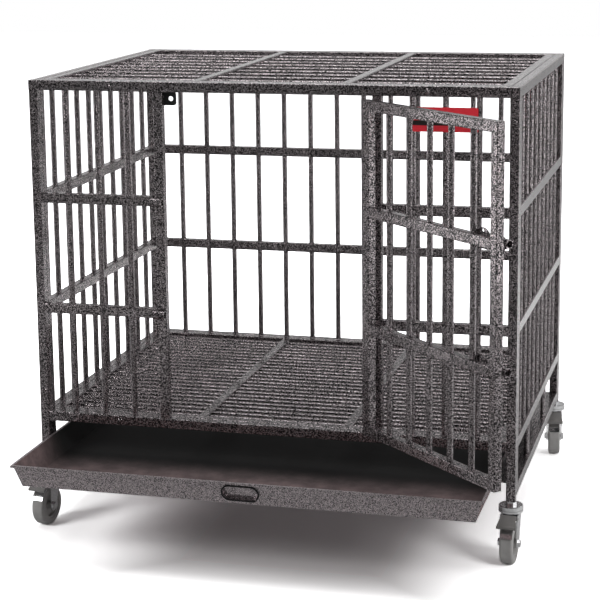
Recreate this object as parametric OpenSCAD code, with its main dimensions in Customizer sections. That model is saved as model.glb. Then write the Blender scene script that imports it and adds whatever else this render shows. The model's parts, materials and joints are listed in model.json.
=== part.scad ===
// Heavy duty dog crate: bolted panels of welded steel tube on four braked casters.
// X runs along the front from left to right, Y from front to back, Z up from the ground.
// The origin is on the ground, in the middle of the length, in the plane of the front face.

/* [Crate] */
// Length along the front
crate_l = 1070; // [900:10:1300]
// Depth from front face to back face
crate_d = 800; // [640:10:1000]
// Height from the ground to the top of the frame
crate_h = 1008; // [800:1:1250]
// Height from the ground to the lower end of the corner posts
caster_h = 132; // [131:1:180]
// Height from the ground to the top of the floor grate
floor_level = 263; // [250:1:340]
// Height from the ground to the underside of the lower side rails
tray_rail_z = 140; // [136:1:150]

/* [Tube] */
// Side of the square frame tube
tube = 20; // [18:0.5:24]
// Height of the horizontal rails
rail_h = 22; // [18:0.5:26]
// Wall of the square tube
tube_wall = 1.2; // [0.8:0.1:2]
// Radius of the square tube's outer edges
corner_r = 2; // [0.5:0.1:2.5]
// Diameter of the round bars
bar_d = 13; // [9:0.1:14]
// Wall of the round bars
bar_wall = 1; // [0.6:0.1:2]
// Clearance around a bar where it passes through a rail
bar_clear = 0.2; // [0.1:0.05:0.4]
// Seam between a bolted panel and its neighbours
seam = 0.9; // [0.3:0.1:1.2]

/* [Bars] */
// Bars on each side of the doorway
front_bar_count = 3; // [2:1:4]
// Bars in the back panel
back_bar_count = 14; // [10:1:16]
// Bars in each side panel and in the top panel
side_bar_count = 9; // [6:1:11]
// Bars in the floor grate
floor_bar_count = 24; // [16:1:28]
// Bars in the door
door_bar_count = 5; // [3:1:6]

/* [Door] */
// Clear width between the door posts
doorway_w = 459; // [400:1:520]
// Gap between the door and each post
door_gap = 3.5; // [3:0.5:6]
// Gap between the door and the rail below it
door_gap_low = 4; // [3:0.5:8]
// Gap between the door and the rail above it
door_gap_high = 5; // [3:0.5:8]
// Depth of the door's tubes
door_t = 19; // [17:0.5:20]
// Width of the stile beside the hinges
hinge_stile_w = 26; // [20:1:32]
// Angle by which the door stands open
door_open = 136.5; // [0:0.5:165]
// Diameter of the vent holes inside the stiles
vent_d = 5; // [3:0.5:8]

/* [Hinges] */
// Distance of the hinge axis in front of the front face
hinge_out = 6; // [5.8:0.1:8]
// Outer diameter of a hinge barrel
barrel_d = 11; // [10:0.5:11]
// Diameter of a hinge pin
pin_d = 6; // [4:0.5:7]
// Radial clearance of a pin in its barrel
pin_clear = 0.1; // [0.05:0.05:0.2]
// Length of one hinge barrel
barrel_h = 30; // [20:1:45]
// Gap between the two barrels of a hinge
barrel_gap = 0.4; // [0.2:0.1:1]
// Thickness of a hinge leaf
leaf_t = 3; // [2:0.5:4]
// Width of a hinge leaf
leaf_w = 18; // [12:1:19]
// Diameter of a hinge pin's head
pin_head_d = 9; // [8:0.5:11]
// Height of a hinge pin's head
pin_head_h = 2; // [1:0.5:4]
// Distance of a hinge from the door's nearer end
hinge_inset = 100; // [60:5:160]

/* [Door bolts] */
// Diameter of the sliding bolt
bolt_d = 13; // [8:0.5:14]
// Radial clearance of the bolt in its guides
bolt_clear = 0.2; // [0.1:0.05:0.4]
// Extra radius of the keeper's hole
keeper_clear = 0.75; // [0.5:0.05:1.2]
// Wall of the guides and keepers
guide_wall = 2.3; // [1.5:0.1:3]
// Thickness of a guide between the bolt and the latch plate
guide_floor = 0.5; // [0.4:0.1:1]
// Thickness of the latch and keeper plates
latch_plate_t = 3; // [2:0.5:4]
// Height of the latch plate
latch_plate_h = 32; // [28:1:36]
// Distance of the latch plate's middle below the middle of its rail
latch_plate_low = 2.5; // [1:0.5:3]
// Length of the latch plate along the rail
latch_plate_l = 88; // [84:1:92]
// Length of the guide beside the door's free edge
guide_l = 30; // [20:1:34]
// Length of the second guide
guide_short_l = 20; // [12:1:24]
// Distance between the two guides
guide_space = 14; // [8:1:16]
// How far the first guide stands past the free edge
guide_reach = 3; // [1:0.5:3]
// How far the drawn-back bolt lies inside its guide
bolt_inset = 12; // [4:1:16]
// Distance of the handle from the free edge
handle_reach = 110; // [108:1:130]
// Length of the handle below the bolt
handle_drop = 32; // [24:1:50]
// Diameter of the handle
handle_d = 11; // [8:0.5:13]
// Radius of the padlock lobe
lobe_r = 24; // [22:1:26]
// Height of the padlock lobe above the latch plate
lobe_up = 9.5; // [8:0.5:12]
// Distance of the padlock lobe from the free edge
lobe_reach = 66; // [40:1:66]
// Diameter of the padlock hole
lobe_hole_d = 7; // [5:0.5:8]
// Height of the padlock hole above the latch plate
lobe_hole_up = 3.5; // [2:0.5:4]
// Height of a keeper's plate
keeper_plate_h = 27; // [24:1:34]
// How far a keeper plate reaches past its post
keeper_side = 6.5; // [2:0.5:10]
// How far a keeper's loop ends short of its plate
keeper_short = 1; // [0.5:0.5:4]

/* [Stop tab] */
// How far the stop tab reaches into the doorway
tab_reach = 26; // [18:1:32]
// Width of the stop tab on its post
tab_seat = 15; // [8:1:18]
// Height of the stop tab
tab_h = 29; // [20:1:34]
// Thickness of the stop tab
tab_t = 3; // [2:0.5:5]
// Diameter of the hole in the stop tab
tab_hole_d = 10.6; // [6:0.2:12]
// Distance of the hole from the tab's free edge
tab_hole_in = 12; // [9:0.5:13]
// Radius of the tab's free corners
tab_corner_r = 6; // [2:0.5:8]
// Gap between the stop tab and the rail above it
tab_gap = 1; // [0.5:0.5:4]

/* [Plate] */
// Width of the plate on the front bars
plate_w = 136; // [120:1:150]
// Height of the plate
plate_h = 51; // [30:1:70]
// Thickness of the plate
plate_t = 1.5; // [1:0.1:2]
// Corner radius of the plate
plate_corner_r = 4; // [2:0.5:10]
// Distance of the plate below the top rail
plate_drop = 21; // [10:1:60]
// Gap between the plate and the bars
plate_gap = 0.1; // [0.05:0.05:0.3]
// Diameter of the rivets
rivet_d = 4; // [3:0.2:5]
// Diameter of the rivet heads
rivet_head_d = 8; // [6:0.5:9]
// Height of the rivet heads
rivet_head_h = 1.6; // [1:0.1:2]

/* [Panel bolts] */
// Diameter of the panel bolts
screw_d = 6; // [5:0.5:8]
// Clearance around the panel bolts
screw_clear = 0.2; // [0.1:0.05:0.4]
// Diameter of the bolt heads
screw_head_d = 11; // [10:0.5:14]
// Height of the bolt heads
screw_head_h = 3; // [2:0.5:5]
// Distance of the post bolts from the rails
screw_inset = 48; // [30:1:80]
// Distance of the rail bolts from the middle
screw_x = 345; // [280:5:400]
// Gap between a bolt's end and the far wall of the second tube
screw_end_gap = 2; // [1:0.5:8]

/* [Tray] */
// Gap between the tray's rim and the side posts
tray_clear = 9; // [3:0.5:12]
// How far the closed tray stands out of the front
tray_lip = 4; // [0:0.5:10]
// Gap behind the closed tray
tray_end_gap = 4; // [2:0.5:10]
// How far the tray is drawn out
tray_out = 237; // [0:1:400]
// Height of the tray
tray_h = 50; // [36:1:60]
// How far each wall leans outward
tray_flare = 15; // [6:0.5:24]
// Sheet thickness of the tray
tray_sheet = 1.2; // [0.8:0.1:2]
// Height at which the tray rides above its runners
tray_ride = 0.3; // [0.2:0.1:0.6]
// Width of the folded hem
hem_w = 4; // [3:0.5:6]
// Height of the folded hem
hem_h = 4.5; // [4:0.5:8]
// Width of a runner
runner_w = 38; // [36:1:60]
// Height of a runner
runner_h = 20; // [12:1:20]
// Thickness of a runner
runner_t = 2.5; // [1.5:0.5:4]

/* [Tray pull] */
// Length of the pull's surround
pull_l = 82; // [60:1:110]
// Height of the pull's surround
pull_h = 38; // [26:0.5:39]
// Width of the surround's rim
pull_rim = 3; // [2.5:0.5:7]
// How far the surround stands proud of the tray
pull_proud = 2.5; // [1.5:0.5:4]
// Depth of the finger cup
cup_depth = 8; // [6:0.5:16]
// Wall of the finger cup
cup_wall = 1.4; // [1:0.1:2]
// Clearance between the cup and the surround
cup_clear = 0.1; // [0.05:0.05:0.2]

/* [Casters] */
// Diameter of a wheel
wheel_d = 88; // [70:1:90]
// Width of a tyre
wheel_w = 28; // [22:1:34]
// Radial thickness of a tyre
tyre_t = 14; // [8:0.5:16]
// Radius of a tyre's shoulders
tyre_shoulder_r = 5; // [2:0.5:7]
// Radial thickness of a hub's rim
hub_rim_t = 4; // [3:0.5:6]
// How far a hub's rim lies inside the tyre's sides
hub_rim_in = 2; // [0.5:0.5:4]
// Thickness of a hub's web
hub_web_t = 10; // [6:1:14]
// Radial thickness of a hub's boss
hub_boss_t = 5; // [3:0.5:8]
// Gap between a hub's boss and each cheek of its fork
hub_side_gap = 0.8; // [0.4:0.1:0.9]
// Offset of the axle from the swivel axis
trail = 14; // [8:1:20]
// Diameter of an axle
axle_d = 10; // [8:0.5:12]
// Radial clearance of an axle
axle_clear = 0.1; // [0.05:0.05:0.2]
// Width of an axle's hexagon head across corners
axle_hex_d = 17; // [14:0.5:20]
// Height of an axle's head and nut
axle_hex_h = 5; // [4:0.5:7]
// Side gap between a tyre and its fork
fork_gap = 2; // [1:0.5:4]
// Sheet thickness of a fork
fork_t = 3; // [2:0.5:4]
// Radius of the rounded lower end of a fork
fork_end_r = 12; // [10:0.5:15]
// How far a fork's crown reaches behind the swivel axis
crown_back = 18; // [14:1:24]
// How far a fork's crown reaches before the swivel axis
crown_front = 24; // [20:1:28]
// Outer radius of the swivel races
race_r = 26; // [22:0.5:30]
// Radius of the swivel races where they are narrow
race_neck_r = 17; // [12:0.5:20]
// Height of each swivel race
race_h = 9; // [8:0.5:9]
// Height of the straight edge of a lower race
race_edge_h = 5; // [3:0.5:6]
// Bevel round the top of an upper race
race_bevel = 1.5; // [0.5:0.5:2]
// Gap between the two races
race_gap = 0.6; // [0.3:0.1:1]
// Diameter of the swivel stem
stem_d = 12; // [10:0.5:14]
// Radial clearance of the swivel stem
stem_clear = 0.1; // [0.05:0.05:0.2]
// Width of the nut under a post across its corners
stem_nut_d = 24; // [20:0.5:26]
// Height of the nut under a post
stem_nut_h = 7; // [5:0.5:7]
// Radius of the head under the crown
stem_head_r = 9; // [8:0.5:12]
// Height of the head under the crown
stem_head_h = 3; // [2:0.5:3]
// Height of the plug inside a post
plug_h = 30; // [15:1:60]
// Clearance around the plug
plug_clear = 0.2; // [0.1:0.05:0.4]

/* [Caster turns] */
// Turn of the front left caster about its stem
turn_front_left = -8; // [-180:1:180]
// Turn of the front right caster about its stem
turn_front_right = -3; // [-180:1:180]
// Turn of the rear left caster about its stem
turn_rear_left = 0; // [-180:1:180]
// Turn of the rear right caster about its stem
turn_rear_right = 8; // [-180:1:180]

/* [Brakes] */
// Gap between a brake leaf and its tyre
brake_gap = 1.5; // [1:0.5:2]
// Thickness of a brake leaf
brake_t = 2; // [1.5:0.5:2.5]
// Width of a brake leaf
brake_w = 26; // [20:1:28]
// Width of each leg that carries a brake leaf
brake_leg_w = 4.5; // [3:0.5:5]
// Angle above the axle at which a brake leaf ends
brake_low = 28; // [15:1:40]
// Angle above the axle at which a brake leaf meets its legs
brake_high = 82; // [80:1:84]
// Width of a pedal at its lip
pedal_w = 41; // [34:1:46]
// Width of a pedal at its root
pedal_root_w = 31; // [24:1:34]
// Thickness of a pedal
pedal_t = 4; // [3:0.5:5]
// Reach of a pedal's lip from the swivel axis
pedal_reach = 58; // [56:1:62]
// Height of a pedal's pivot above the axle
pedal_pivot_up = 53.5; // [53:0.5:54]
// Height of a pedal's root above its pivot
pedal_root_up = 10.5; // [6:0.5:10.5]
// Drop of a pedal's lip below its pivot
pedal_lip_drop = 7; // [4:0.5:8]
// Radius of a pedal's rounded lip
pedal_lip_r = 3.5; // [3:0.5:5]
// Diameter of a pedal's pivot pin
pedal_pin_d = 6; // [4:0.5:7]
// Radius of the boss round a pedal's pivot
pedal_boss_r = 4.5; // [4:0.5:5]
// Gap between a pedal's root and the crown of its fork
pedal_root_gap = 1.5; // [1.5:0.5:3]
// Side gap between a pedal's boss and its fork
pedal_side_gap = 1.5; // [1:0.5:3]
// Width of the arm that carries a pedal
pedal_arm_w = 14; // [10:1:14]
// Distance of a pedal's pressing nose from its lip
nose_reach = 18; // [14:1:20]
// Radius of a pedal's pressing nose
nose_r = 5; // [4:0.5:5]
// Width of a pedal's pressing nose
nose_w = 20; // [14:1:24]

/* [Hidden] */
$fn = 48;

// Paint and material colours
hammertone = [0.30, 0.28, 0.27];
black_steel = [0.08, 0.08, 0.08];
zinc = [0.72, 0.72, 0.73];
grey_rubber = [0.38, 0.37, 0.35];
grey_plastic = [0.50, 0.49, 0.47];
sign_red = [0.75, 0.08, 0.08];

// Overshoot of a cut past the faces that it opens
cut = 1;

// Frame levels and spans
half_l = crate_l / 2;
post_top = crate_h - rail_h;
bar_len = post_top - floor_level;
rail_pitch = (crate_h - floor_level) / 3;
inner_x = half_l - tube;
door_post_x = doorway_w / 2;
front_panel_w = inner_x - door_post_x - tube;
side_y = 2 * tube;
side_len = crate_d - 4 * tube;
bar_hole_d = bar_d + 2 * bar_clear;
tray_rail_top = tray_rail_z + rail_h;

// Bolted panels inside the top and bottom rails
panel_x = inner_x - seam;
panel_y = tube + seam;
panel_d = crate_d - 2 * panel_y;
panel_inner_x = panel_x - tube;
panel_inner_d = panel_d - 2 * tube;
cross_x = panel_inner_x / 3;

// Short bars under the floor rail stand below the bars nearest these shares of the side
strut_shares = [0.3, 0.7];
strut_indices = [for (share = strut_shares) round((side_bar_count + 1) * share)];

// Door in its closed place
door_x = doorway_w / 2 - door_gap;
door_y = (tube - door_t) / 2;
door_z = floor_level + door_gap_low;
door_h = post_top - door_gap_high - door_z;
door_inner_w = 2 * door_x - tube - hinge_stile_w;
door_bar_z = door_z + rail_h;
door_bar_len = door_h - 2 * rail_h;
hinge_x = doorway_w / 2 - door_gap / 2;
hinge_zs = [door_z + hinge_inset, door_z + door_h - hinge_inset];

// Door bolts
bolt_r = bolt_d / 2;
guide_r = bolt_r + bolt_clear + guide_wall;
bolt_axis_out = latch_plate_t + guide_floor + bolt_r + bolt_clear;
bolt_y = door_y - bolt_axis_out;
keeper_r = bolt_r + keeper_clear + guide_wall;
keeper_w = tube + keeper_side;
latch_plate_top = latch_plate_h / 2 - latch_plate_low;

// Tray in its closed place
tray_w = 2 * (inner_x - tray_clear);
tray_l = crate_d - tube - tray_end_gap + tray_lip;
tray_z = tray_rail_top + tray_ride;
tray_lean = atan(tray_flare / tray_h);
cup_l = pull_l - 2 * pull_rim;
cup_h = pull_h - 2 * pull_rim;

// Panel bolts
screw_hole_d = screw_d + 2 * screw_clear;
screw_l = 2 * tube - tube_wall - screw_end_gap;
post_screw_zs = [floor_level + screw_inset, post_top - screw_inset];
post_screw_x = half_l - tube / 2;
rail_screw_zs = [floor_level - tube / 2, crate_h - tube / 2];

// Plate on the right-hand front bars
plate_x = door_post_x + tube + front_panel_w / 2;
plate_z = post_top - plate_drop - plate_h / 2;
bar_face_y = (tube - bar_d) / 2;
plate_y = bar_face_y - plate_gap - plate_t;
rivet_xs = [for (i = [1, front_bar_count]) front_bar_x(i)];

// Casters
axle_z = wheel_d / 2;
caster_x = half_l - tube / 2;
caster_y = tube / 2;
fork_in = wheel_w / 2 + fork_gap;
fork_out = fork_in + fork_t;
rear_y = crate_d - caster_y;
upper_race_z = caster_h - stem_nut_h - race_h;
lower_race_z = upper_race_z - race_gap - race_h;
crown_z = lower_race_z - fork_t;
stem_hole_d = stem_d + 2 * stem_clear;
pedal_pivot_z = axle_z + pedal_pivot_up;
pedal_boss_w = 2 * (fork_in - pedal_side_gap);
brake_r = axle_z + brake_gap;

function rail_z(k) = floor_level - rail_h + rail_pitch * k;

// Middle of bar i of n bars that leave equal gaps along a span
function bar_at(i, n, span) = (span - n * bar_d) / (n + 1) * i + bar_d * (i - 0.5);
function front_bar_x(i) = door_post_x + tube + bar_at(i, front_bar_count, front_panel_w);
function side_bar_y(i) = side_y + bar_at(i, side_bar_count, side_len);
function floor_bar_y(i) = panel_y + tube + bar_at(i, floor_bar_count, panel_inner_d);
function back_bar_x(i) = bar_at(i, back_bar_count, 2 * inner_x) - inner_x;
function door_bar_x(i) = tube - door_x + bar_at(i, door_bar_count, door_inner_w);

// Places its children on the right and mirrors them to the left
module both_sides() {
    children();
    mirror([1, 0, 0]) children();
}

// Places its children at the front and mirrors them to the back
module both_ends() {
    children();
    translate([0, crate_d, 0]) mirror([0, 1, 0]) children();
}

// Turns that lay an upright tube along X, Y or Z
tube_turns = [[90, 0, 90], [-90, 0, 0], [0, 0, 0]];

// Rectangular tube with rounded edges along one axis, open or closed at each end
module box_tube(size, axis, caps = [false, false]) {
    profile = [for (i = [0:2]) if (i != axis) size[i]];
    low = [for (i = [0:2]) i == axis && !caps[0] ? -cut : tube_wall];
    high = [for (i = [0:2]) i == axis && !caps[1] ? size[i] + cut : size[i] - tube_wall];
    difference() {
        translate(size / 2) rotate(tube_turns[axis])
            linear_extrude(height = size[axis], center = true)
                round_rect(profile[0], profile[1], corner_r);
        translate(low) cube(high - low);
    }
}

// Round bar standing on the XY plane
module round_bar(length) {
    difference() {
        cylinder(d = bar_d, h = length);
        translate([0, 0, -cut]) cylinder(d = bar_d - 2 * bar_wall, h = length + 2 * cut);
    }
}

// Cylinder along X from one place to another
module rod_x(x_from, x_to, d) {
    translate([x_from, 0, 0]) rotate([0, 90, 0]) cylinder(d = d, h = x_to - x_from);
}

// Hole for a vertical bar through a rail
module bar_hole_z(height) {
    translate([0, 0, -cut]) cylinder(d = bar_hole_d, h = height + 2 * cut);
}

// Rectangle with rounded corners, centred
module round_rect(w, h, r) {
    square([w - 2 * r, h], center = true);
    square([w, h - 2 * r], center = true);
    for (x = [-1, 1], y = [-1, 1]) translate([x * (w / 2 - r), y * (h / 2 - r)]) circle(r = r);
}

// Outline with two straight sides and two round ends, centred
module stadium(w, h) {
    square([w - h, h], center = true);
    for (x = [-1, 1]) translate([x * (w - h) / 2, 0]) circle(d = h);
}

// Holes for the bolts through the posts, at the front and the back
module post_screw_holes() {
    both_ends() both_sides() for (z = post_screw_zs) translate([post_screw_x, -cut, z])
        rotate([-90, 0, 0]) cylinder(d = screw_hole_d, h = 2 * tube + 2 * cut);
}

// Holes for the bolts through the rails, at the front and the back
module rail_screw_holes() {
    both_ends() both_sides() for (z = rail_screw_zs) translate([screw_x, -cut, z])
        rotate([-90, 0, 0]) cylinder(d = screw_hole_d, h = 2 * tube + 2 * cut);
}

// Front panel

module front_rails() color(hammertone) difference() {
    union() {
        translate([-half_l, 0, post_top]) box_tube([crate_l, tube, rail_h], 0, [true, true]);
        translate([-inner_x, 0, rail_z(0)]) box_tube([2 * inner_x, tube, rail_h], 0);
    }
    rail_screw_holes();
}

module front_corner_posts() color(hammertone) difference() {
    both_sides() translate([inner_x, 0, caster_h])
        box_tube([tube, tube, post_top - caster_h], 2);
    post_screw_holes();
}

module door_posts() color(hammertone) both_sides() translate([door_post_x, 0, floor_level])
    box_tube([tube, tube, bar_len], 2);

module front_mid_rails() color(hammertone) both_sides() for (k = [1, 2]) difference() {
    translate([door_post_x + tube, 0, rail_z(k)]) box_tube([front_panel_w, tube, rail_h], 0);
    for (i = [1:front_bar_count]) translate([front_bar_x(i), tube / 2, rail_z(k)])
        bar_hole_z(rail_h);
}

module front_bars() color(hammertone) difference() {
    both_sides() for (i = [1:front_bar_count]) translate([front_bar_x(i), tube / 2, floor_level])
        round_bar(bar_len);
    for (x = rivet_xs) translate([x, 0, plate_z]) rotate([-90, 0, 0])
        cylinder(d = rivet_d + 2 * screw_clear, h = tube / 2);
}

// Back panel

module back_rails() color(hammertone) translate([0, crate_d - tube, 0]) difference() {
    union() {
        translate([-half_l, 0, post_top]) box_tube([crate_l, tube, rail_h], 0, [true, true]);
        for (k = [0:2]) translate([-inner_x, 0, rail_z(k)])
            box_tube([2 * inner_x, tube, rail_h], 0);
    }
    translate([0, tube - crate_d, 0]) rail_screw_holes();
    for (k = [1, 2], i = [1:back_bar_count]) translate([back_bar_x(i), tube / 2, rail_z(k)])
        bar_hole_z(rail_h);
}

module back_posts() color(hammertone) difference() {
    both_sides() translate([inner_x, crate_d - tube, caster_h])
        box_tube([tube, tube, post_top - caster_h], 2);
    post_screw_holes();
}

module back_bars() color(hammertone) for (i = [1:back_bar_count])
    translate([back_bar_x(i), crate_d - tube / 2, floor_level]) round_bar(bar_len);

// Side panels

module side_posts() color(hammertone) difference() {
    both_ends() both_sides() translate([inner_x, tube, tray_rail_z])
        box_tube([tube, tube, post_top - tray_rail_z], 2, [true, false]);
    post_screw_holes();
}

module side_rails() {
    translate([inner_x, tube, post_top]) box_tube([tube, crate_d - 2 * tube, rail_h], 1);
    for (z = [tray_rail_z, rail_z(0)]) translate([inner_x, side_y, z])
        box_tube([tube, side_len, rail_h], 1);
    for (k = [1, 2]) difference() {
        translate([inner_x, side_y, rail_z(k)]) box_tube([tube, side_len, rail_h], 1);
        for (i = [1:side_bar_count]) translate([half_l - tube / 2, side_bar_y(i), rail_z(k)])
            bar_hole_z(rail_h);
    }
}

module side_bars() {
    for (i = [1:side_bar_count]) translate([half_l - tube / 2, side_bar_y(i), floor_level])
        round_bar(bar_len);
    for (i = strut_indices) translate([half_l - tube / 2, side_bar_y(i), tray_rail_top])
        round_bar(rail_z(0) - tray_rail_top);
}

module right_side_rails() color(hammertone) side_rails();

module left_side_rails() color(hammertone) mirror([1, 0, 0]) side_rails();

module right_side_bars() color(hammertone) side_bars();

module left_side_bars() color(hammertone) mirror([1, 0, 0]) side_bars();

// Top panel and floor grate

// Front and back rails of a panel, bolted to the rails of the crate
module panel_rails(top) difference() {
    both_ends() translate([-panel_x, panel_y, top - tube])
        box_tube([2 * panel_x, tube, tube], 0, [true, true]);
    rail_screw_holes();
}

// Members of a panel from front to back: one at each side, and two drilled ones that the bars pass
module panel_cross_members(top, bar_ys) both_sides() {
    translate([panel_inner_x, panel_y + tube, top - tube]) box_tube([tube, panel_inner_d, tube], 1);
    difference() {
        translate([cross_x - tube / 2, panel_y + tube, top - tube])
            box_tube([tube, panel_inner_d, tube], 1);
        for (y = bar_ys) translate([0, y, top - tube / 2])
            rod_x(cross_x - tube, cross_x + tube, bar_hole_d);
    }
}

module panel_bars(top, bar_ys) for (y = bar_ys)
    translate([-panel_inner_x, y, top - tube / 2]) rotate([0, 90, 0]) round_bar(2 * panel_inner_x);

side_bar_ys = [for (i = [1:side_bar_count]) side_bar_y(i)];
floor_bar_ys = [for (i = [1:floor_bar_count]) floor_bar_y(i)];

module top_frame_rails() color(hammertone) panel_rails(crate_h);

module top_cross_members() color(hammertone) panel_cross_members(crate_h, side_bar_ys);

module top_bars() color(hammertone) panel_bars(crate_h, side_bar_ys);

module floor_frame_rails() color(hammertone) panel_rails(floor_level);

module floor_cross_members() color(hammertone) panel_cross_members(floor_level, floor_bar_ys);

module floor_bars() color(hammertone) panel_bars(floor_level, floor_bar_ys);

// Angle that carries the tray along each lower side rail
module tray_runners() color(hammertone) both_sides()
    translate([inner_x, side_y + side_len, tray_rail_top]) rotate([90, 0, 0])
        linear_extrude(height = side_len) polygon([
            [0, 0], [-runner_w, 0], [-runner_w, -runner_t], [-runner_t, -runner_t],
            [-runner_t, -runner_h], [0, -runner_h]
        ]);

// Loop that holds a door bolt, along X from the origin on the bolt's axis: round in front,
// with a straight-sided foot that reaches back to its plate
module bolt_loop(length, outer_r, hole_r, foot) rotate([90, 0, 90]) linear_extrude(height = length)
    difference() {
        intersection() {
            union() {
                circle(r = outer_r);
                translate([0, -outer_r]) square([foot, 2 * outer_r]);
            }
            translate([-outer_r, -outer_r]) square([outer_r + foot, 2 * outer_r]);
        }
        circle(r = hole_r);
    }

// Keepers that take the door bolts, on the post opposite the hinges
module latch_keepers() color(hammertone) for (k = [1, 2])
    translate([-door_post_x - keeper_w, 0, rail_z(k) + rail_h / 2]) {
        translate([0, -latch_plate_t, -keeper_plate_h / 2])
            cube([keeper_w, latch_plate_t, keeper_plate_h]);
        translate([0, bolt_y, 0]) bolt_loop(
            keeper_w - keeper_short, keeper_r, bolt_r + keeper_clear,
            -bolt_y - latch_plate_t / 2
        );
    }

// Outline of the drilled tab, from its seat on the post to its rounded free corners
module stop_tab() difference() {
    union() {
        translate([-tab_seat, 0]) square([tab_seat + tab_reach - tab_corner_r, tab_h]);
        translate([0, tab_corner_r]) square([tab_reach, tab_h - 2 * tab_corner_r]);
        for (y = [tab_corner_r, tab_h - tab_corner_r])
            translate([tab_reach - tab_corner_r, y]) circle(r = tab_corner_r);
    }
    translate([tab_reach - tab_hole_in, tab_h / 2]) circle(d = tab_hole_d);
}

// Tab that stops the closed door, under the top rail
module door_stop_tab() color(black_steel)
    translate([-door_post_x, tube + tab_t, post_top - tab_gap - tab_h]) rotate([90, 0, 0])
        linear_extrude(height = tab_t) stop_tab();

// Plain plate across the right-hand bars of the front panel
module name_plate() color(sign_red) translate([plate_x, plate_y + plate_t, plate_z])
    rotate([90, 0, 0]) linear_extrude(height = plate_t) difference() {
        round_rect(plate_w, plate_h, plate_corner_r);
        for (x = rivet_xs) translate([x - plate_x, 0]) circle(d = rivet_d + 2 * screw_clear);
    }

// Fastener with a domed head, its shank along +Y from the face that the head sits on
module domed_fastener(d, length, head_d, head_h) {
    dome_r = (pow(head_d / 2, 2) + pow(head_h, 2)) / (2 * head_h);
    rotate([-90, 0, 0]) cylinder(d = d, h = length);
    rotate([90, 0, 0]) rotate_extrude() intersection() {
        translate([0, head_h - dome_r]) circle(r = dome_r, $fn = 96);
        square([head_d / 2, head_h]);
    }
}

module plate_rivets() color(zinc) for (x = rivet_xs) translate([x, plate_y, plate_z])
    domed_fastener(rivet_d, plate_t + bar_d / 2, rivet_head_d, rivet_head_h);

module panel_bolts() color(hammertone) both_ends() both_sides() {
    for (z = post_screw_zs) translate([post_screw_x, 0, z])
        domed_fastener(screw_d, screw_l, screw_head_d, screw_head_h);
    for (z = rail_screw_zs) translate([screw_x, 0, z])
        domed_fastener(screw_d, screw_l, screw_head_d, screw_head_h);
}

// Hinges

// One barrel with its leaf, reaching to the right of the hinge axis and ending at a face
module hinge_leaf(reach, face_y) difference() {
    union() {
        cylinder(d = barrel_d, h = barrel_h);
        translate([0, face_y - leaf_t, 0]) cube([reach, leaf_t, barrel_h]);
    }
    translate([0, 0, -cut]) cylinder(d = pin_d + 2 * pin_clear, h = barrel_h + 2 * cut);
}

module post_hinge_leaves() color(hammertone) for (z = hinge_zs)
    translate([hinge_x, -hinge_out, z - barrel_h])
        hinge_leaf(door_gap / 2 + leaf_w, hinge_out);

module hinge_pins() color(zinc) for (z = hinge_zs) translate([hinge_x, -hinge_out, z - barrel_h]) {
    cylinder(d = pin_d, h = 2 * barrel_h + barrel_gap);
    translate([0, 0, 2 * barrel_h + barrel_gap]) cylinder(d = pin_head_d, h = pin_head_h);
}

// Door, drawn closed and swung about the hinge axis

module door_place() translate([hinge_x, -hinge_out, 0]) rotate([0, 0, door_open])
    translate([-hinge_x, hinge_out, 0]) children();

module door_stile(x, w) translate([x, door_y, door_z])
    box_tube([w, door_t, door_h], 2, [true, true]);

module door_stiles() color(hammertone) door_place() difference() {
    union() {
        door_stile(-door_x, tube);
        door_stile(door_x - hinge_stile_w, hinge_stile_w);
    }
    for (k = [1, 2]) translate([0, tube / 2, rail_z(k) + rail_h / 2])
        rod_x(tube / 2 - door_x, door_x - hinge_stile_w / 2, vent_d);
}

module door_rails() color(hammertone) door_place() {
    for (z = [door_z, door_z + door_h - rail_h]) translate([tube - door_x, door_y, z])
        box_tube([door_inner_w, door_t, rail_h], 0);
    for (k = [1, 2]) difference() {
        translate([tube - door_x, door_y, rail_z(k)]) box_tube([door_inner_w, door_t, rail_h], 0);
        for (i = [1:door_bar_count]) translate([door_bar_x(i), tube / 2, rail_z(k)])
            bar_hole_z(rail_h);
    }
}

module door_bars() color(hammertone) door_place() for (i = [1:door_bar_count])
    translate([door_bar_x(i), tube / 2, door_bar_z]) round_bar(door_bar_len);

module door_hinge_leaves() color(hammertone) door_place() for (z = hinge_zs)
    translate([hinge_x, -hinge_out, z + barrel_gap]) mirror([1, 0, 0])
        hinge_leaf(door_gap / 2 + leaf_w, hinge_out + door_y);

// Door bolts, drawn with the free edge of the door on the left

module latch_place(k) door_place() translate([-door_x, door_y, rail_z(k) + rail_h / 2]) children();

module latch_plates() color(hammertone) for (k = [1, 2]) latch_place(k) rotate([90, 0, 0])
    linear_extrude(height = latch_plate_t) difference() {
        union() {
            translate([0, latch_plate_top - latch_plate_h]) square([latch_plate_l, latch_plate_h]);
            intersection() {
                translate([lobe_reach, latch_plate_top + lobe_up - lobe_r]) circle(r = lobe_r);
                square([latch_plate_l, latch_plate_top + lobe_up]);
            }
        }
        translate([lobe_reach, latch_plate_top + lobe_hole_up]) circle(d = lobe_hole_d);
    }

module latch_guide(length)
    bolt_loop(length, guide_r, bolt_r + bolt_clear, bolt_axis_out - latch_plate_t);

module latch_guides() color(hammertone) for (k = [1, 2]) latch_place(k)
    translate([0, -bolt_axis_out, 0]) {
        translate([-guide_reach, 0, 0]) latch_guide(guide_l);
        translate([guide_l - guide_reach + guide_space, 0, 0]) latch_guide(guide_short_l);
    }

module latch_bolt(k) color(hammertone) latch_place(k) translate([0, -bolt_axis_out, 0]) {
    rod_x(bolt_inset - guide_reach, handle_reach, bolt_d);
    translate([handle_reach, 0, 0]) sphere(d = bolt_d);
    translate([handle_reach, 0, -handle_drop]) cylinder(d = handle_d, h = handle_drop);
    translate([handle_reach, 0, -handle_drop]) sphere(d = handle_d);
}

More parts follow.
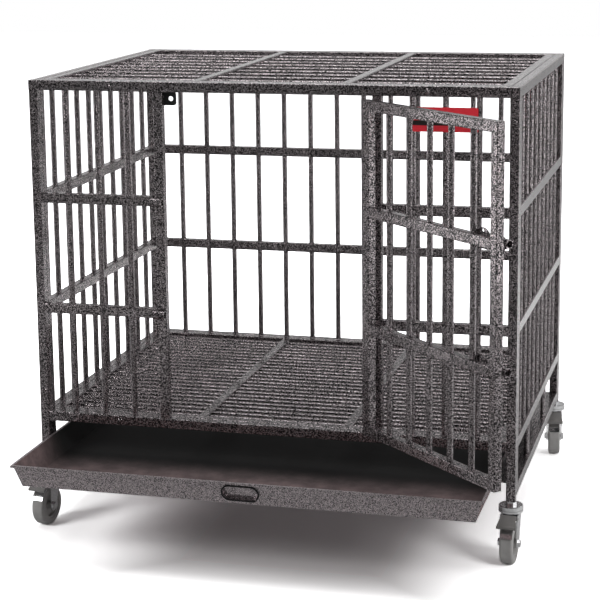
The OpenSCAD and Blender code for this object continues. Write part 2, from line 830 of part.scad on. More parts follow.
module upper_latch_bolt() latch_bolt(2);

module lower_latch_bolt() latch_bolt(1);

// Tray, drawn closed and then drawn out

module tray_place() translate([0, -tray_lip - tray_out, tray_z]) children();

// Solid with four sloping sides, wider at the top, centred on X with its front rim at Y = 0
module sloped_block(w, l, h, lean) intersection() {
    translate([0, l, 0]) rotate([90, 0, 0]) linear_extrude(height = l)
        polygon([[-w / 2 + lean, 0], [w / 2 - lean, 0], [w / 2, h], [-w / 2, h]]);
    translate([-w / 2, 0, 0]) rotate([90, 0, 90]) linear_extrude(height = w)
        polygon([[lean, 0], [l - lean, 0], [l, h], [0, h]]);
}

// Frame round the rim of the tray, from an outer offset to an inner offset
module rim_ring(outer_in, inner_in, h) difference() {
    translate([outer_in - tray_w / 2, outer_in, 0])
        cube([tray_w - 2 * outer_in, tray_l - 2 * outer_in, h]);
    translate([inner_in - tray_w / 2, inner_in, -cut])
        cube([tray_w - 2 * inner_in, tray_l - 2 * inner_in, h + 2 * cut]);
}

// Middle of the front wall's outer face, with Z out of the wall
module pull_place() translate([0, hem_w + tray_flare / 2, tray_h / 2])
    rotate([90 + tray_lean, 0, 0]) children();

module tray_pan() color(hammertone) tray_place() difference() {
    union() {
        difference() {
            translate([0, hem_w, 0])
                sloped_block(tray_w - 2 * hem_w, tray_l - 2 * hem_w, tray_h, tray_flare);
            translate([0, hem_w + tray_sheet, tray_sheet]) sloped_block(
                tray_w - 2 * hem_w - 2 * tray_sheet, tray_l - 2 * hem_w - 2 * tray_sheet,
                tray_h, tray_flare * tray_h / (tray_h - tray_sheet)
            );
        }
        translate([0, 0, tray_h - tray_sheet]) rim_ring(0, hem_w + tray_sheet, tray_sheet);
        translate([0, 0, tray_h - hem_h]) rim_ring(0, tray_sheet, hem_h);
    }
    pull_place() translate([0, 0, -cup_depth / 2]) linear_extrude(height = cup_depth)
        stadium(cup_l + 2 * cup_wall + 2 * cup_clear, cup_h + 2 * cup_wall + 2 * cup_clear);
}

// Shallow metal cup that the fingers reach into
module tray_pull_cup() color(zinc) tray_place() pull_place() translate([0, 0, -cup_depth])
    difference() {
        linear_extrude(height = cup_depth)
            stadium(cup_l + 2 * cup_wall, cup_h + 2 * cup_wall);
        translate([0, 0, cup_wall]) linear_extrude(height = cup_depth) stadium(cup_l, cup_h);
    }

// Rim that frames the cup on the tray's front wall
module tray_pull_surround() color(black_steel) tray_place() pull_place()
    linear_extrude(height = pull_proud) difference() {
        stadium(pull_l, pull_h);
        stadium(cup_l, cup_h);
    }

// Casters, drawn at the origin with the pedal towards the front

module caster_place(x_side, y, turn = 0) translate([x_side * caster_x, y, 0])
    rotate([0, 0, turn]) children();

module all_casters() for (x_side = [-1, 1], y = [caster_y, rear_y])
    caster_place(x_side, y) children();

// Turns a profile of radius and width about the axle
module about_axle() translate([0, -trail, axle_z]) rotate([0, 90, 0]) children();

module caster_stems() color(zinc) all_casters() {
    plug_w = tube - 2 * tube_wall - 2 * plug_clear;
    translate([-plug_w / 2, -plug_w / 2, caster_h]) cube([plug_w, plug_w, plug_h]);
    translate([0, 0, crown_z - stem_head_h]) cylinder(d = stem_d, h = caster_h - crown_z + stem_head_h);
    translate([0, 0, crown_z - stem_head_h]) cylinder(r = stem_head_r, h = stem_head_h);
    translate([0, 0, caster_h - stem_nut_h]) cylinder(d = stem_nut_d, h = stem_nut_h, $fn = 6);
}

// Swivel race: a straight edge below a cone, drilled for the stem
module race_ring(edge_h, neck_r) difference() {
    union() {
        cylinder(r = race_r, h = edge_h);
        translate([0, 0, edge_h]) cylinder(r1 = race_r, r2 = neck_r, h = race_h - edge_h);
    }
    translate([0, 0, -cut]) cylinder(d = stem_hole_d, h = race_h + 2 * cut);
}

module caster_races() color(zinc) all_casters() translate([0, 0, upper_race_z])
    race_ring(race_h - race_bevel, race_r - race_bevel);

// Flat cheek of a fork: wide at the crown, rounded round the axle
module fork_cheek() difference() {
    union() {
        polygon([
            [-crown_front, lower_race_z], [crown_back, lower_race_z],
            [fork_end_r - trail, axle_z], [-fork_end_r - trail, axle_z]
        ]);
        translate([-trail, axle_z]) circle(r = fork_end_r);
    }
    translate([-trail, axle_z]) circle(d = axle_d + 2 * axle_clear);
    translate([-trail, pedal_pivot_z]) circle(d = pedal_pin_d + 2 * axle_clear);
}

// Side view of a brake leaf: an arc over the front of the tyre
module brake_arc() intersection() {
    difference() {
        circle(r = brake_r + brake_t);
        circle(r = brake_r);
    }
    polygon([
        [0, 0],
        for (a = [brake_low, (brake_low + brake_high) / 2, brake_high])
            2 * axle_z * [-cos(a), sin(a)]
    ]);
}

// Brake leaf that a pedal presses on the tyre, hung from the crown by two legs
module brake_leaf() {
    leg_in = crown_front - trail - brake_t / 2;
    leg_z = axle_z + sqrt(pow(brake_r + brake_t / 2, 2) - pow(leg_in, 2));
    translate([-brake_w / 2, -trail, axle_z]) rotate([90, 0, 90])
        linear_extrude(height = brake_w) brake_arc();
    both_sides() translate([brake_w / 2 - brake_leg_w, -crown_front, leg_z])
        cube([brake_leg_w, brake_t, crown_z + fork_t / 2 - leg_z]);
}

module fork() color(zinc) difference() {
    union() {
        brake_leaf();
        both_sides() translate([fork_in, 0, 0]) rotate([90, 0, 90])
            linear_extrude(height = fork_t) fork_cheek();
        translate([-fork_in, -crown_front, crown_z])
            cube([2 * fork_in, crown_front + crown_back, fork_t]);
        translate([0, 0, lower_race_z + race_h]) mirror([0, 0, 1])
            race_ring(race_edge_h, race_neck_r);
    }
    translate([0, 0, crown_z - cut]) cylinder(d = stem_hole_d, h = fork_t + 2 * cut);
}

module axle() color(zinc) about_axle() {
    translate([0, 0, -fork_out]) cylinder(d = axle_d, h = 2 * fork_out);
    for (z = [-fork_out - axle_hex_h, fork_out]) translate([0, 0, z])
        cylinder(d = axle_hex_d, h = axle_hex_h, $fn = 6);
}

// Tyre with a flat tread and rounded shoulders
module tyre() color(grey_rubber) about_axle() rotate_extrude($fn = 96) {
    inner_r = axle_z - tyre_t;
    translate([inner_r, -wheel_w / 2]) square([tyre_t - tyre_shoulder_r, wheel_w]);
    translate([inner_r, tyre_shoulder_r - wheel_w / 2])
        square([tyre_t, wheel_w - 2 * tyre_shoulder_r]);
    for (s = [-1, 1]) translate([axle_z - tyre_shoulder_r, s * (wheel_w / 2 - tyre_shoulder_r)])
        circle(r = tyre_shoulder_r);
}

// Hub with a rim under the tyre, a thin web and a boss on the axle
module hub() color(grey_plastic) about_axle() rotate_extrude($fn = 96) {
    rim_r = axle_z - tyre_t - axle_clear;
    rim_w = wheel_w - 2 * hub_rim_in;
    bore_r = axle_d / 2 + axle_clear;
    boss_w = 2 * (fork_in - hub_side_gap);
    translate([rim_r - hub_rim_t, -rim_w / 2]) square([hub_rim_t, rim_w]);
    translate([bore_r, -hub_web_t / 2]) square([rim_r - bore_r, hub_web_t]);
    translate([bore_r, -boss_w / 2]) square([hub_boss_t, boss_w]);
}

// Brake pedal: a pin and arm between the cheeks, a flared hood and a nose that presses the leaf
module pedal() color(grey_plastic) {
    root_y = -crown_front - pedal_root_gap - pedal_t;
    arm_low = pedal_pivot_z - pedal_t / 2;
    hood_top = [root_y + pedal_t / 2, pedal_pivot_z + pedal_root_up];
    hood_lip = [pedal_lip_r - pedal_reach, pedal_pivot_z - pedal_lip_drop];
    hood_run = hood_top - hood_lip;
    translate([0, -trail, pedal_pivot_z]) {
        rod_x(-fork_out, fork_out, pedal_pin_d);
        rod_x(-pedal_boss_w / 2, pedal_boss_w / 2, 2 * pedal_boss_r);
    }
    translate([-pedal_arm_w / 2, root_y, arm_low]) cube([pedal_arm_w, -trail - root_y, pedal_t]);
    translate([-pedal_root_w / 2, root_y, arm_low])
        cube([pedal_root_w, pedal_t, hood_top[1] - arm_low]);
    translate([0, hood_lip[0], hood_lip[1]]) {
        rod_x(-pedal_w / 2, pedal_w / 2, 2 * pedal_lip_r);
        rotate([atan2(hood_run[1], hood_run[0]), 0, 0]) translate([0, 0, -pedal_t / 2]) {
            linear_extrude(height = pedal_t) polygon([
                [-pedal_w / 2, 0], [pedal_w / 2, 0],
                [pedal_root_w / 2, norm(hood_run)], [-pedal_root_w / 2, norm(hood_run)]
            ]);
            translate([0, nose_reach, 0]) intersection() {
                rod_x(-nose_w / 2, nose_w / 2, 2 * nose_r);
                translate([-nose_w / 2, -nose_r, -nose_r])
                    cube([nose_w, 2 * nose_r, nose_r + pedal_t / 2]);
            }
        }
    }
}

front_rails();
front_corner_posts();
door_posts();
front_mid_rails();
front_bars();
back_rails();
back_posts();
back_bars();
side_posts();
left_side_rails();
right_side_rails();
left_side_bars();
right_side_bars();
top_frame_rails();
top_cross_members();
top_bars();
floor_frame_rails();
floor_cross_members();
floor_bars();
tray_runners();
latch_keepers();
door_stop_tab();
name_plate();
plate_rivets();
panel_bolts();
post_hinge_leaves();
hinge_pins();
caster_stems();
caster_races();
door_stiles();
door_rails();
door_bars();
door_hinge_leaves();
latch_guides();
latch_plates();
upper_latch_bolt();
lower_latch_bolt();
tray_pan();
tray_pull_cup();
tray_pull_surround();
caster_place(-1, caster_y, turn_front_left) fork();  // fork_front_left
caster_place(-1, caster_y, turn_front_left) axle();  // axle_front_left
caster_place(-1, caster_y, turn_front_left) tyre();  // tyre_front_left
caster_place(-1, caster_y, turn_front_left) hub();  // hub_front_left
caster_place(-1, caster_y, turn_front_left) pedal();  // pedal_front_left
caster_place(1, caster_y, turn_front_right) fork();  // fork_front_right
caster_place(1, caster_y, turn_front_right) axle();  // axle_front_right
caster_place(1, caster_y, turn_front_right) tyre();  // tyre_front_right
caster_place(1, caster_y, turn_front_right) hub();  // hub_front_right
caster_place(1, caster_y, turn_front_right) pedal();  // pedal_front_right
caster_place(-1, rear_y, turn_rear_left) fork();  // fork_rear_left
caster_place(-1, rear_y, turn_rear_left) axle();  // axle_rear_left
caster_place(-1, rear_y, turn_rear_left) tyre();  // tyre_rear_left
caster_place(-1, rear_y, turn_rear_left) hub();  // hub_rear_left
caster_place(-1, rear_y, turn_rear_left) pedal();  // pedal_rear_left
caster_place(1, rear_y, turn_rear_right) fork();  // fork_rear_right
caster_place(1, rear_y, turn_rear_right) axle();  // axle_rear_right
caster_place(1, rear_y, turn_rear_right) tyre();  // tyre_rear_right
caster_place(1, rear_y, turn_rear_right) hub();  // hub_rear_right
caster_place(1, rear_y, turn_rear_right) pedal();  // pedal_rear_right
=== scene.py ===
import json
import math

import bpy
from mathutils import Matrix, Vector


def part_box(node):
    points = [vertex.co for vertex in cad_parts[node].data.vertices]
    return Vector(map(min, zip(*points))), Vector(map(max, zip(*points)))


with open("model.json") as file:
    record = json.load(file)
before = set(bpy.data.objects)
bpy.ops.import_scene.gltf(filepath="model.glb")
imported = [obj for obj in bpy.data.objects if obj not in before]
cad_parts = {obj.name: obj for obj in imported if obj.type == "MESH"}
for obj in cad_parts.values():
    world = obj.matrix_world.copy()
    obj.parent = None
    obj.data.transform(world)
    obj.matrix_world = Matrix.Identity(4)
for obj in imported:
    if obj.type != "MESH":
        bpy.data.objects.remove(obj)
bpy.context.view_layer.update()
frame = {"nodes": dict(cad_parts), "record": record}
nodes = frame["nodes"]

# Camera, fitted to the photograph: place in metres, angles in degrees, focal length in pixels
IMAGE_SIDE = 600
CAMERA_PLACE = Vector((1.0147, -3.5744, 1.3928))
CAMERA_YAW = 15.584
CAMERA_PITCH = 10.545
CAMERA_ROLL = -0.754
FOCAL_PIXELS = 1777.48
OPTICAL_CENTRE = (274.8, 227.6)
SENSOR_MM = 36.0

# Finishes, as linear colours
ENAMEL_DARK = (0.0135, 0.0105, 0.0112, 1)
ENAMEL_FLAKE = (0.78, 0.70, 0.72, 1)
TRAY_BLACK = (0.012, 0.0115, 0.0117, 1)
# Lighter lining colour of the tray's drawn-out front: scuffs and painted light
TRAY_SCUFF_AND_LIGHT = (0.300, 0.215, 0.215, 1)
SATIN_LIGHT = (0.016, 0.016, 0.016, 1)
SATIN_DARK = (0.010, 0.010, 0.010, 1)
RIM_LIGHT = (0.006, 0.006, 0.006, 1)
RIM_DARK = (0.003, 0.003, 0.003, 1)
ZINC_LIGHT = (0.93, 0.93, 0.935, 1)
ZINC_DARK = (0.80, 0.80, 0.81, 1)
RUBBER_LIGHT = (0.54, 0.53, 0.52, 1)
RUBBER_DARK = (0.45, 0.44, 0.43, 1)
HUB_GREY = (0.50, 0.49, 0.48, 1)
PEDAL_LIGHT = (0.28, 0.268, 0.26, 1)
PEDAL_DARK = (0.23, 0.22, 0.213, 1)
PLATE_RED = (1.0, 0.045, 0.070, 1)
PLATE_RED_WORN = (0.95, 0.038, 0.060, 1)
PLATE_BAND = (0.020, 0.018, 0.016, 1)

# Bright flake in the enamel: its share, which lowers the threshold for a chip, how soft that threshold
# is, and the weight of the fine noise that is added to the chips
ENAMEL_COVER = 0.33
TRAY_COVER = 0.58
FLAKE_THRESHOLD = 1.15
FLAKE_SOFTNESS = 0.10
FLAKE_NOISE = 0.3

# Grain of the finishes, in features per metre
FLAKE_SCALE = 660.0
BAR_FLAKE_SCALE = 1000.0
ORANGE_PEEL_SCALE = 300.0
STAIN_SCALE = 9.0
SCUFF_SCALE = 26.0
ZINC_SPANGLE_SCALE = 160.0
ZINC_CLOUD_SCALE = 70.0
MOULDED_CLOUD_SCALE = 38.0
PLATE_WEAR_SCALE = 60.0
SATIN_GRAIN_SCALE = 500.0
HUB_GRAIN_SCALE = 600.0
PLASTIC_GRAIN_SCALE = 700.0
RUBBER_GRAIN_SCALE = 900.0

# Where a pattern turns from one tone to the other, and how dark the enamel's stains are
NOISE_SPAN = (0.3, 0.7)
SPANGLE_SPAN = (0.1, 0.7)
WEAR_SPAN = (0.4, 0.7)
STAIN_TONES = (0.82, 1.0)

# Roughness: from ground to flake, from enamel to lining, and from least to most
ENAMEL_ROUGHNESS = (0.15, 0.21)
TRAY_ROUGHNESS = (0.45, 0.80)
ZINC_ROUGHNESS = (0.12, 0.22)
PLATE_ROUGHNESS = (0.30, 0.42)
SATIN_ROUGHNESS = 0.40
HUB_ROUGHNESS = 0.45
PEDAL_ROUGHNESS = 0.48
RIM_ROUGHNESS = 0.60
RUBBER_ROUGHNESS = 0.62
MOULDED_SPREAD = 0.06

# Relief: strength, and depth in metres
FLAKE_RELIEF = (0.35, 0.0003)
SPANGLE_RELIEF = (0.08, 0.0003)
GRAIN_RELIEF = (0.15, 0.0002)

# Tray lining: upward and sideways slopes that it covers, and its edge below the rim, in metres; the
# sideways slope also turns the outer side walls black as painted shade
LINING_UP = (0.10, 0.20)
LINING_AND_SHADE_SIDEWAYS = (0.4, 0.6)
LINING_EDGE = (0.0012, 0.0008)

# Scuffs and painted light on the lining: the noise that makes the scuffs, their shares (the lower share
# lightens all the drawn-out front as painted light), and where they end towards the back, where the lining
# stays black as painted shade under the crate
SCUFF_SPAN = (0.30, 0.75)
SCUFF_AND_LIGHT_SHARES = (0.45, 1.0)
SCUFF_AND_LIGHT_REACH = (-0.15, 0.03)

# Dark band on the plate, as shares of its height, and the softness of its edges in metres
BAND_SHARES = (0.26, 0.46)
BAND_EDGE = 0.0004

# Floor: its half side, the colours that it bounces before, under and behind the crate (painted shade
# before it, painted light behind it), and those seen (a painted shadow under the crate, white further out)
FLOOR_HALF = 14.0
FLOOR_FRONT_PAINTED_SHADE = (0.34, 0.34, 0.34, 1)
FLOOR_BOUNCE = (0.85, 0.85, 0.85, 1)
FLOOR_BACK_PAINTED_LIGHT = (2.2, 2.2, 2.2, 1)
# Colour seen in the painted shadow under the crate
FLOOR_SEEN_PAINTED_SHADOW = (0.90, 0.87, 0.87, 1)
FLOOR_SEEN_NEAR = (3.3, 3.3, 3.3, 1)
FLOOR_SEEN_FAR = (9.0, 9.0, 9.0, 1)

# Where those colours change, in metres along the depth or away from the origin
FRONT_FADE = (-0.7, 0.3)
BACK_FADE = (0.9, 2.6)
FAR_FADE = (1.0, 3.0)

# Painted shadow on the floor under the crate, in the colour that the camera sees, in metres: its middle
# across, and where it fades out
SHADE_MIDDLE = 0.06
SHADE_BESIDE = (0.18, 0.48)
SHADE_BEFORE = (-0.36, -0.12)
SHADE_BEYOND = (0.55, 0.95)

# World light: strengths from the front to the back, and shares from the horizon upwards
SKY_DEPTH = (-0.60, 0.70)
SKY_STRENGTHS = (0.03, 0.64)
SKY_HEIGHT = (0.13, 0.30)
SKY_SHARES = (1.15, 0.55)

# Soft lamps: name, place, target and size in metres, power in watts
LAMPS = [
    ("overhead", (0.0, 0.45, 3.5), (0, 0.25, 0), (2.8, 2.0), 42),
    ("front_left", (-2.3, -2.2, 2.0), (-0.2, 0, 0.2), (1.2, 1.2), 34),
    ("front_right", (2.9, -1.6, 2.0), (0.2, 0, 0.2), (1.2, 1.2), 34),
    ("right_side", (2.4, 0.7, 0.9), (0.5, 0.2, 0.2), (1.6, 1.2), 6),
]

# Lamps that are only mirrored in shiny faces, written the same way
SHEEN_LAMPS = [
    ("left_wall", (-2.8, -0.4, 0.40), (0.3, -0.4, 0.40), (1.4, 0.8), 4),
    ("right_wall", (3.2, -0.6, 0.40), (0.3, -0.6, 0.40), (1.4, 0.8), 3),
    ("front_sheen", (0.0, -3.7, 0.01), (0, -3.7, 1), (8.0, 4.8), 20),
]

# A Mix node has sockets for each kind of value: the two inputs and the output of the kinds used here
MIX_SOCKETS = {"FLOAT": (2, 3, 0), "RGBA": (6, 7, 2)}


class Nodes:
    """A node tree being built: makes nodes and links them."""

    def __init__(self, tree):
        self.tree = tree

    def node(self, kind, **settings):
        made = self.tree.nodes.new(kind)
        for key, value in settings.items():
            setattr(made, key, value)
        return made

    def link(self, source, target):
        self.tree.links.new(source, target)

    def put(self, value, socket):
        """Sets a socket to a plain number or colour, or links a source to it."""
        if isinstance(value, (int, float, tuple)):
            socket.default_value = value
        else:
            self.link(value, socket)

    def split(self, vector):
        made = self.node("ShaderNodeSeparateXYZ")
        self.link(vector, made.inputs[0])
        return made.outputs

    def ramp(self, source, low, high, to_low=0.0, to_high=1.0):
        """Carries source from low..high to to_low..to_high, smoothly and clamped."""
        made = self.node("ShaderNodeMapRange", interpolation_type="SMOOTHSTEP")
        ends = {"From Min": low, "From Max": high, "To Min": to_low, "To Max": to_high}
        for key, value in ends.items():
            made.inputs[key].default_value = value
        self.link(source, made.inputs["Value"])
        return made.outputs["Result"]

    def math(self, operation, first, second=0.0):
        made = self.node("ShaderNodeMath", operation=operation)
        self.put(first, made.inputs[0])
        self.put(second, made.inputs[1])
        return made.outputs[0]

    def mix(self, kind, share, first, second):
        """Mixes two numbers or colours, each a value or a socket, by a share from 0 to 1."""
        made = self.node("ShaderNodeMix", data_type=kind)
        first_socket, second_socket, result = MIX_SOCKETS[kind]
        self.link(share, made.inputs[0])
        self.put(first, made.inputs[first_socket])
        self.put(second, made.inputs[second_socket])
        return made.outputs[result]


class Shader(Nodes):
    """A node material being built, with its main shader and the place on the object."""

    def __init__(self, name):
        self.material = bpy.data.materials.new(name)
        self.material.use_nodes = True
        super().__init__(self.material.node_tree)
        self.bsdf = self.tree.nodes["Principled BSDF"]
        self.place = self.node("ShaderNodeTexCoord").outputs["Object"]

    def feed(self, **sources):
        """Links sources to the main shader's sockets; underscores in a name stand for spaces."""
        for key, source in sources.items():
            self.link(source, self.bsdf.inputs[key.replace("_", " ")])

    def noise(self, scale, detail=2.0, rough=0.5):
        made = self.node("ShaderNodeTexNoise")
        made.inputs["Scale"].default_value = scale
        made.inputs["Detail"].default_value = detail
        made.inputs["Roughness"].default_value = rough
        self.link(self.place, made.inputs["Vector"])
        return made.outputs["Fac"]

    def cells(self, scale):
        made = self.node("ShaderNodeTexVoronoi")
        made.inputs["Scale"].default_value = scale
        self.link(self.place, made.inputs["Vector"])
        return made.outputs

    def chips(self, scale):
        """A chance value from 0 to 1, the same across each small cell."""
        return self.split(self.cells(scale)["Color"])["X"]

    def blend(self, share, first, second):
        return self.mix("RGBA", share, first, second)

    def bump(self, height, strength, distance):
        made = self.node("ShaderNodeBump")
        made.inputs["Strength"].default_value = strength
        made.inputs["Distance"].default_value = distance
        self.link(height, made.inputs["Height"])
        self.feed(Normal=made.outputs["Normal"])


def flake_share(shader, scale, cover):
    """Share of bright flake in the hammered enamel: small chips by chance, made uneven by fine noise."""
    fine = shader.noise(ORANGE_PEEL_SCALE, detail=1.5, rough=0.6)
    uneven = shader.math("MULTIPLY", fine, FLAKE_NOISE)
    mixed = shader.math("ADD", shader.chips(scale), uneven)
    threshold = FLAKE_THRESHOLD - cover
    return shader.ramp(mixed, threshold - FLAKE_SOFTNESS, threshold + FLAKE_SOFTNESS)


def hammertone(name, scale, cover):
    """Hammered enamel: bright metallic flake in a dark ground, with faint stains."""
    shader = Shader(name)
    flake = flake_share(shader, scale, cover)
    shade = shader.node("ShaderNodeHueSaturation")
    shader.link(shader.blend(flake, ENAMEL_DARK, ENAMEL_FLAKE), shade.inputs["Color"])
    stain = shader.ramp(shader.noise(STAIN_SCALE), *NOISE_SPAN, *STAIN_TONES)
    shader.link(stain, shade.inputs["Value"])
    roughness = shader.ramp(flake, 0.0, 1.0, *ENAMEL_ROUGHNESS)
    shader.feed(Base_Color=shade.outputs["Color"], Metallic=flake, Roughness=roughness)
    shader.bump(flake, *FLAKE_RELIEF)
    return shader.material


def tray_coat(name):
    """Hammered enamel outside and a black lining inside, told apart by which way a face looks; the outer
    side walls also get the black as painted shade, and the lining's drawn-out front is lighter with scuffs
    and painted light.
    """
    shader = Shader(name)
    flake = flake_share(shader, BAR_FLAKE_SCALE, TRAY_COVER)
    slope = shader.split(shader.node("ShaderNodeNewGeometry").outputs["Normal"])
    place = shader.split(shader.place)
    rim_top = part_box("tray_pan")[1].z
    edge_low, edge_high = (rim_top - drop for drop in LINING_EDGE)
    below_rim = shader.ramp(place["Z"], edge_low, edge_high, 1.0, 0.0)
    upward = shader.math("MULTIPLY", shader.ramp(slope["Z"], *LINING_UP), below_rim)
    # Faces that look sideways, the outer side walls too, take the black lining: painted shade on the outer
    # walls
    sideways = shader.ramp(shader.math("ABSOLUTE", slope["X"]), *LINING_AND_SHADE_SIDEWAYS)
    lining = shader.math("MAXIMUM", upward, sideways)
    cloud = shader.noise(SCUFF_SCALE, detail=6.0, rough=0.65)
    # Lighter towards the front where the tray is drawn out, as scuffs and painted light; black at the
    # back, under the crate, as painted shade
    drawn_out_painted_light = shader.ramp(place["Y"], *SCUFF_AND_LIGHT_REACH, 1.0, 0.0)
    scuff_and_painted_light = shader.math("MULTIPLY", shader.ramp(cloud, *SCUFF_SPAN, *SCUFF_AND_LIGHT_SHARES), drawn_out_painted_light)
    black = shader.blend(scuff_and_painted_light, TRAY_BLACK, TRAY_SCUFF_AND_LIGHT)
    enamel = shader.blend(flake, ENAMEL_DARK, ENAMEL_FLAKE)
    bare_flake = shader.math("MULTIPLY", shader.math("SUBTRACT", 1.0, lining), flake)
    roughness = shader.ramp(lining, 0.0, 1.0, *TRAY_ROUGHNESS)
    shader.feed(Base_Color=shader.blend(lining, enamel, black), Metallic=bare_flake, Roughness=roughness)
    shader.bump(bare_flake, *FLAKE_RELIEF)
    return shader.material


def zinc(name):
    """Bright zinc plate with a faint spangle and an uneven gloss."""
    shader = Shader(name)
    spangle = shader.cells(ZINC_SPANGLE_SCALE)["Distance"]
    tone = shader.blend(shader.ramp(spangle, *SPANGLE_SPAN), ZINC_LIGHT, ZINC_DARK)
    cloud = shader.noise(ZINC_CLOUD_SCALE, detail=4.0)
    shader.feed(Base_Color=tone, Roughness=shader.ramp(cloud, *NOISE_SPAN, *ZINC_ROUGHNESS))
    shader.bsdf.inputs["Metallic"].default_value = 1.0
    shader.bump(spangle, *SPANGLE_RELIEF)
    return shader.material


def moulded(name, light, dark, grain, roughness):
    """Moulded plastic, rubber or satin paint: two close tones, fine grain and a little uneven gloss."""
    shader = Shader(name)
    cloud = shader.ramp(shader.noise(MOULDED_CLOUD_SCALE, detail=3.0), *NOISE_SPAN)
    fine = shader.noise(grain, detail=1.0)
    least, most = roughness - MOULDED_SPREAD, roughness + MOULDED_SPREAD
    gloss = shader.ramp(fine, *NOISE_SPAN, least, most)
    shader.feed(Base_Color=shader.blend(cloud, dark, light), Roughness=gloss)
    shader.bump(fine, *GRAIN_RELIEF)
    return shader.material


def plate_paint(name):
    """Bare red plate with one plain dark band below its middle."""
    shader = Shader(name)
    low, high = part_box("name_plate")
    band_low, band_high = (low.z + share * (high.z - low.z) for share in BAND_SHARES)
    height = shader.split(shader.place)["Z"]
    above = shader.ramp(height, band_low - BAND_EDGE, band_low + BAND_EDGE)
    below = shader.ramp(height, band_high - BAND_EDGE, band_high + BAND_EDGE, 1.0, 0.0)
    band = shader.math("MULTIPLY", above, below)
    wear = shader.ramp(shader.noise(PLATE_WEAR_SCALE, detail=4.0), *WEAR_SPAN)
    red = shader.blend(wear, PLATE_RED, PLATE_RED_WORN)
    roughness = shader.ramp(wear, 0.0, 1.0, *PLATE_ROUGHNESS)
    shader.feed(Base_Color=shader.blend(band, red, PLATE_BAND), Roughness=roughness)
    return shader.material


finishes = {
    "hammertone_paint": hammertone("hammertone_enamel", FLAKE_SCALE, ENAMEL_COVER),
    "zinc_plate": zinc("zinc_plating"),
    "black_paint": moulded("satin_black", SATIN_LIGHT, SATIN_DARK, SATIN_GRAIN_SCALE, SATIN_ROUGHNESS),
    "black_plastic": moulded("black_rim", RIM_LIGHT, RIM_DARK, PLASTIC_GRAIN_SCALE, RIM_ROUGHNESS),
    "red_paint": plate_paint("red_plate"),
    "grey_rubber": moulded("grey_rubber", RUBBER_LIGHT, RUBBER_DARK, RUBBER_GRAIN_SCALE, RUBBER_ROUGHNESS),
    "grey_plastic": moulded("hub_plastic", HUB_GREY, RUBBER_LIGHT, HUB_GRAIN_SCALE, HUB_ROUGHNESS),
    "brown_grey_plastic": moulded(
        "pedal_plastic", PEDAL_LIGHT, PEDAL_DARK, PLASTIC_GRAIN_SCALE, PEDAL_ROUGHNESS
    ),
}

# Nodes with a finish of their own: thin bars with finer flake, and the tray with its pull, whose cup has
# extra bright flake as painted light in its recess
bar_enamel = hammertone("bar_enamel", BAR_FLAKE_SCALE, ENAMEL_COVER)
own_finish = {name: bar_enamel for name in nodes if name.endswith("_bars")}
own_finish["tray_pan"] = tray_coat("tray_enamel")
# The pull's cup is lighter than its recess would show: painted light
own_finish["tray_pull_cup"] = hammertone("cup_enamel_painted_light", BAR_FLAKE_SCALE, TRAY_COVER)


def dress(name, material):
    mesh = nodes[name].data
    mesh.materials.clear()
    mesh.materials.append(material)


for part in frame["record"]["subparts"]:
    dress(part["node"], own_finish.get(part["node"], finishes[part["material_slot"]]))


def add_object(name, data):
    made = bpy.data.objects.new(name, data)
    bpy.context.scene.collection.objects.link(made)
    return made


def make_camera():
    yaw, pitch, roll = (math.radians(a) for a in (CAMERA_YAW, CAMERA_PITCH, CAMERA_ROLL))
    flat_right = Vector((math.cos(yaw), math.sin(yaw), 0))
    flat_ahead = Vector((-math.sin(yaw), math.cos(yaw), 0))
    ahead = flat_ahead * math.cos(pitch) - Vector((0, 0, math.sin(pitch)))
    flat_up = flat_right.cross(ahead)
    right = flat_right * math.cos(roll) + flat_up * math.sin(roll)
    up = flat_up * math.cos(roll) - flat_right * math.sin(roll)
    lens = bpy.data.cameras.new("camera")
    lens.sensor_width = SENSOR_MM
    lens.lens = FOCAL_PIXELS * SENSOR_MM / IMAGE_SIDE
    lens.shift_x = (IMAGE_SIDE / 2 - OPTICAL_CENTRE[0]) / IMAGE_SIDE
    lens.shift_y = (OPTICAL_CENTRE[1] - IMAGE_SIDE / 2) / IMAGE_SIDE
    camera = add_object("camera", lens)
    turn = Matrix((right, up, -ahead)).transposed().to_4x4()
    camera.matrix_world = Matrix.Translation(CAMERA_PLACE) @ turn
    bpy.context.scene.camera = camera


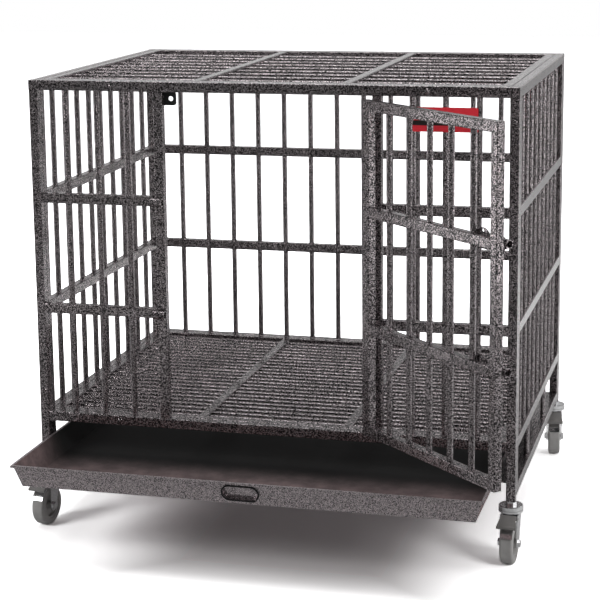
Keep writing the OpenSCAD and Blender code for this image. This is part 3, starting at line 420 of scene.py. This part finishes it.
def make_floor():
    """White paper to the camera, with a painted shadow under the crate; to other rays its colour is
    painted dim in front as shade and painted bright behind as light.
    """
    mesh = bpy.data.meshes.new("floor")
    signs = ((-1, -1), (1, -1), (1, 1), (-1, 1))
    corners = [(x * FLOOR_HALF, y * FLOOR_HALF, 0) for x, y in signs]
    mesh.from_pydata(corners, [], [(0, 1, 2, 3)])
    floor = add_object("floor", mesh)
    shader = Shader("floor_paper")
    across, depth = shader.split(shader.place)[:2]
    # Bounced colour: painted light behind the crate, painted shade in front of it
    behind = shader.blend(shader.ramp(depth, *BACK_FADE), FLOOR_BOUNCE, FLOOR_BACK_PAINTED_LIGHT)
    bounce = shader.blend(shader.ramp(depth, *FRONT_FADE), FLOOR_FRONT_PAINTED_SHADE, behind)
    # Painted shadow under the crate, in the colour that the camera sees
    off_middle = shader.math("ABSOLUTE", shader.math("SUBTRACT", across, SHADE_MIDDLE))
    beside = shader.ramp(off_middle, *SHADE_BESIDE)
    before = shader.ramp(depth, *SHADE_BEFORE, 1.0, 0.0)
    beyond = shader.ramp(depth, *SHADE_BEYOND)
    clear = shader.math("MAXIMUM", shader.math("MAXIMUM", beside, before), beyond)
    near = shader.blend(clear, FLOOR_SEEN_PAINTED_SHADOW, FLOOR_SEEN_NEAR)
    away = shader.node("ShaderNodeVectorMath", operation="LENGTH")
    shader.link(shader.place, away.inputs[0])
    seen = shader.blend(shader.ramp(away.outputs["Value"], *FAR_FADE), near, FLOOR_SEEN_FAR)
    to_camera = shader.node("ShaderNodeLightPath").outputs["Is Camera Ray"]
    paper = shader.node("ShaderNodeBsdfDiffuse")
    shader.link(shader.blend(to_camera, bounce, seen), paper.inputs["Color"])
    shader.link(paper.outputs[0], shader.tree.nodes["Material Output"].inputs["Surface"])
    mesh.materials.append(shader.material)


def make_world():
    """White where the camera looks past the floor; as light, brightest low at the back, dim in front."""
    world = bpy.data.worlds.new("studio")
    bpy.context.scene.world = world
    world.use_nodes = True
    sky = Nodes(world.node_tree)
    towards = sky.split(sky.node("ShaderNodeTexCoord").outputs["Generated"])
    strength = sky.ramp(towards["Y"], *SKY_DEPTH, *SKY_STRENGTHS)
    share = sky.ramp(towards["Z"], *SKY_HEIGHT, *SKY_SHARES)
    light = sky.math("MULTIPLY", strength, share)
    to_camera = sky.node("ShaderNodeLightPath").outputs["Is Camera Ray"]
    background = sky.tree.nodes["Background"]
    sky.link(sky.mix("FLOAT", to_camera, light, 1.0), background.inputs["Strength"])
    background.inputs["Color"].default_value = (1, 1, 1, 1)


def make_lamp(name, place, target, size, watts, fills=True):
    """A soft rectangular lamp; one that doesn't fill is only mirrored in shiny faces."""
    light = bpy.data.lights.new(name, "AREA")
    light.shape = "RECTANGLE"
    light.size, light.size_y = size
    light.energy = watts
    lamp = add_object(name, light)
    lamp.visible_diffuse = fills
    lamp.location = place
    lamp.rotation_euler = (Vector(target) - Vector(place)).to_track_quat("-Z", "Y").to_euler()


make_camera()
make_floor()
make_world()
for lamp_values in LAMPS:
    make_lamp(*lamp_values)
for lamp_values in SHEEN_LAMPS:
    make_lamp(*lamp_values, fills=False)

bpy.context.scene.view_settings.view_transform = "Standard"
